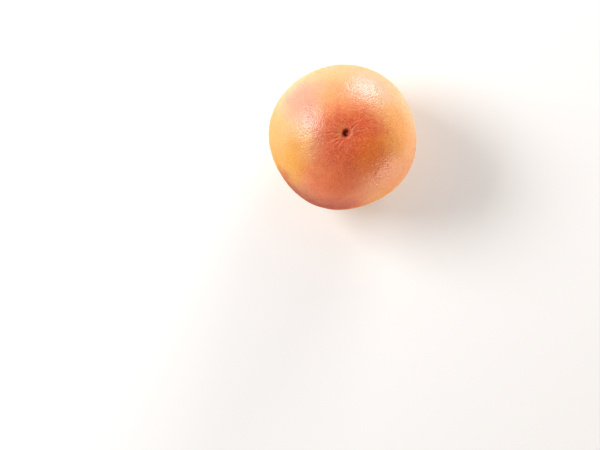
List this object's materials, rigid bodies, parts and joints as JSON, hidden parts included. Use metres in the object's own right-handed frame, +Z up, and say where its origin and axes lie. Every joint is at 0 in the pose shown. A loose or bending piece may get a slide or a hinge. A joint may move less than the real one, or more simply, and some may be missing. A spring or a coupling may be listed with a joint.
{
  "type": "grapefruit",
  "caption": "Whole grapefruit, slightly flattened, with a creased stem end round the pit its stalk left and a small flat spot to rest on.",
  "frame": {"origin": "middle of the flat spot at the blossom end, which the fruit rests on", "axes": "+Z up from the blossom end to the stem end; +X towards the longer of the two widths"},
  "size_m": [0.1111, 0.1093, 0.0982],
  "materials": {
    "rind": "waxy, finely pitted citrus rind, golden orange with a coral red blush"
  },
  "bodies": {
    "root": {"grapefruit": "rind"}
  },
  "joints": []
}
